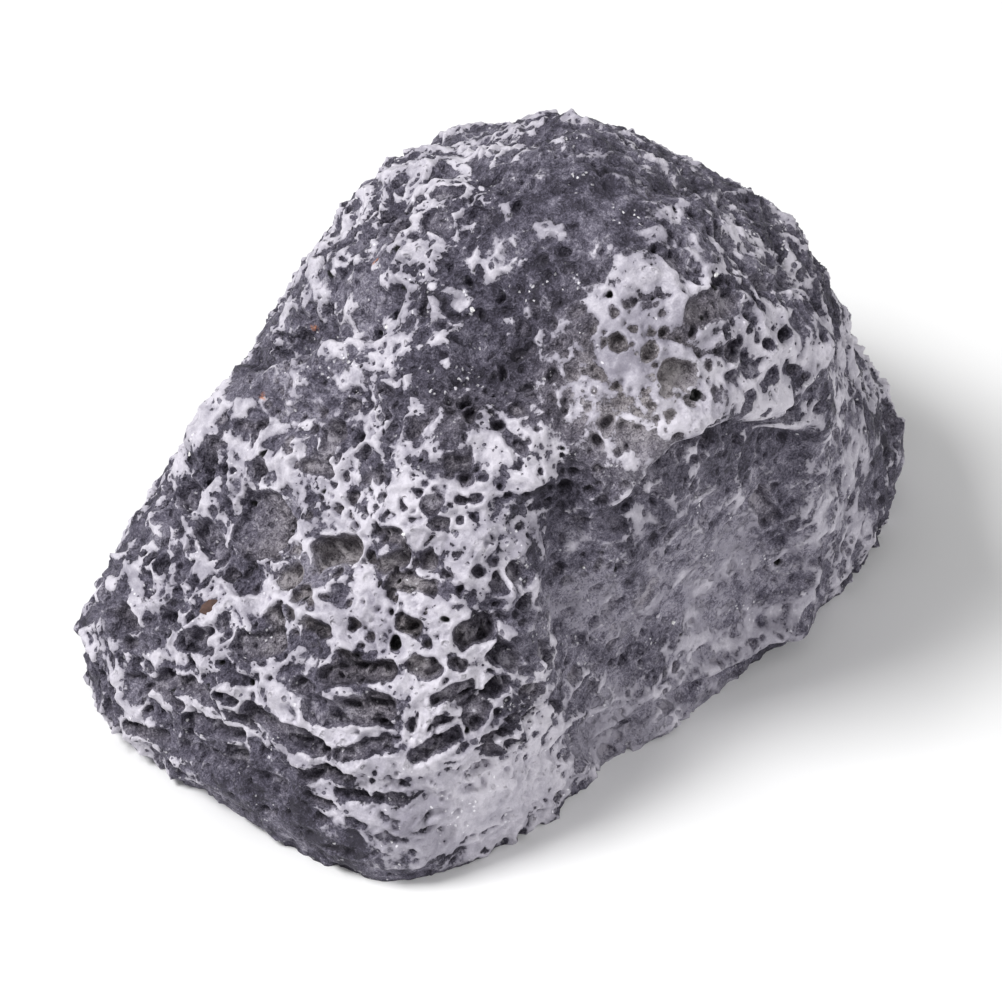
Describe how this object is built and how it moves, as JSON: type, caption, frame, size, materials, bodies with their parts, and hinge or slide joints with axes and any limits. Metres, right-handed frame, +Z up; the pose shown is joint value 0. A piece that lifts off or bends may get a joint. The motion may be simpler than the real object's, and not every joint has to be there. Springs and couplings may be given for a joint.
{
  "type": "hollow resin rock ornament",
  "caption": "Hollow cast-resin rock ornament with a hidden compartment in its flat underside, closed by a sliding hatch.",
  "frame": {"origin": "centre of the footprint's bounding box, on the resting plane", "axes": "+Z up, +X along the length towards the end the hatch slides out of"},
  "size_m": [0.0893, 0.069, 0.0559],
  "materials": {
    "resin": "matte",
    "grit": "satin",
    "plate": "matte",
    "foam": "matte",
    "tray_plastic": "satin",
    "lid_plastic": "satin",
    "screw_steel": "satin"
  },
  "bodies": {
    "rock": {"rock_shell": "resin", "grit_chips": "grit", "base_plate": "plate", "tray_gasket": "foam", "compartment_tray": "tray_plastic", "tray_screws": "screw_steel", "lid_seal": "foam"},
    "lid": {"sliding_lid": "lid_plastic"}
  },
  "joints": [
    {"name": "lid_slide", "type": "slide", "parent": "rock", "child": "lid", "axis": [1, 0, 0], "range_m": [0, 0.052]}
  ]
}
